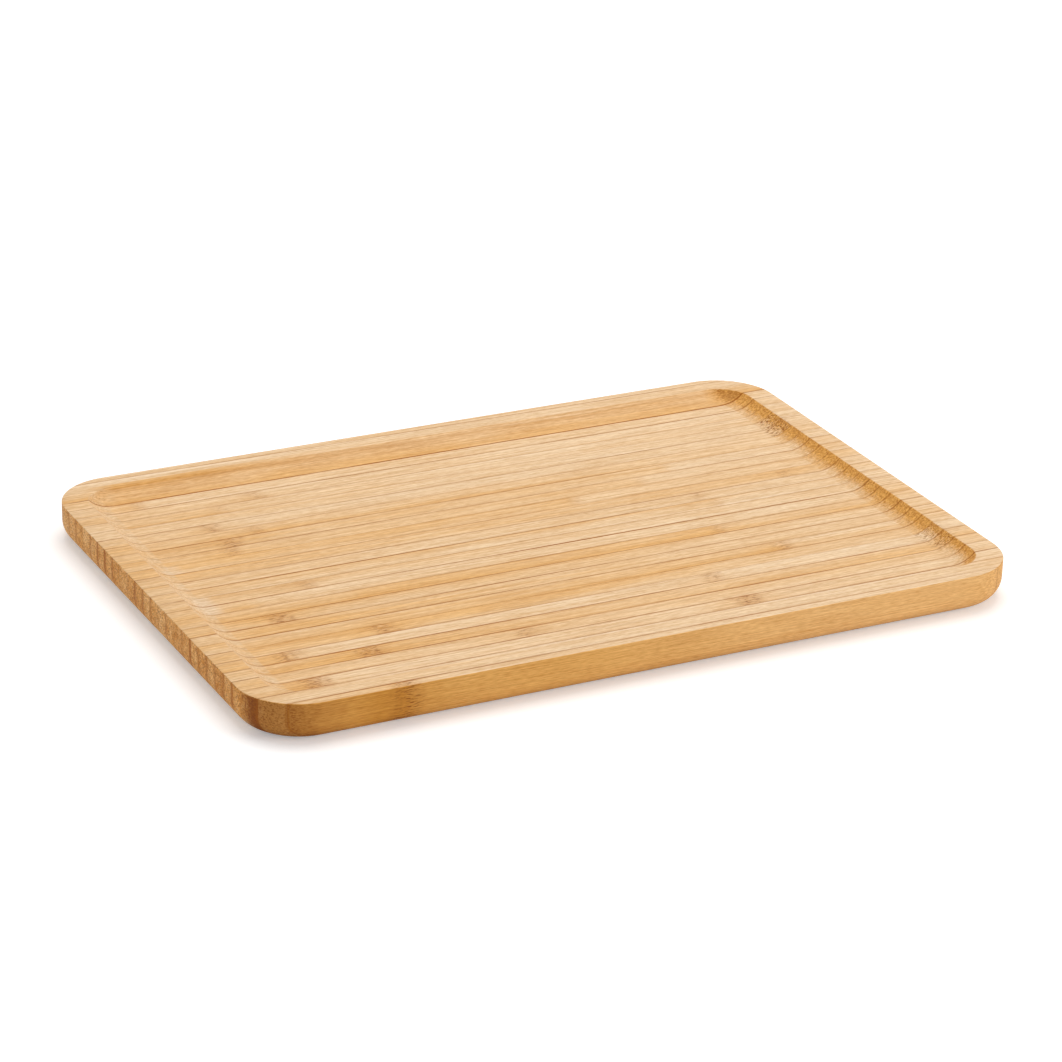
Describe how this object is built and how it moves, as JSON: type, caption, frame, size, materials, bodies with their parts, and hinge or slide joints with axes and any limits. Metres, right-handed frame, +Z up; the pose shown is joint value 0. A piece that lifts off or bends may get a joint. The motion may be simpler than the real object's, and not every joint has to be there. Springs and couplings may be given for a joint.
{
  "type": "bamboo serving tray",
  "caption": "Flat rectangular tray of glued bamboo strips with rounded corners, a shallow coved well, a flat rim and a rounded lower edge, for serving food and drinks.",
  "frame": {"origin": "middle of the underside, on the plane that the tray rests on", "axes": "+X along the length of the tray and of its strips, +Y across the strips to the back, +Z up out of the well"},
  "size_m": [0.3, 0.21, 0.015],
  "materials": {
    "bamboo_pale": "oiled",
    "bamboo_straw": "oiled",
    "bamboo_honey": "oiled"
  },
  "bodies": {
    "root": {"front_edge_strip": "bamboo_pale", "strip_02": "bamboo_straw", "strip_03": "bamboo_pale", "strip_04": "bamboo_honey", "strip_05": "bamboo_straw", "strip_06": "bamboo_pale", "strip_07": "bamboo_honey", "strip_08": "bamboo_pale", "strip_09": "bamboo_honey", "strip_10": "bamboo_straw", "strip_11": "bamboo_pale", "strip_12": "bamboo_honey", "strip_13": "bamboo_straw", "strip_14": "bamboo_pale", "strip_15": "bamboo_straw", "strip_16": "bamboo_pale", "strip_17": "bamboo_honey", "strip_18": "bamboo_straw", "strip_19": "bamboo_pale", "strip_20": "bamboo_honey", "strip_21": "bamboo_straw", "strip_22": "bamboo_honey", "strip_23": "bamboo_straw", "strip_24": "bamboo_pale", "strip_25": "bamboo_honey", "strip_26": "bamboo_straw", "strip_27": "bamboo_pale", "strip_28": "bamboo_honey", "back_edge_strip": "bamboo_pale"}
  },
  "joints": []
}
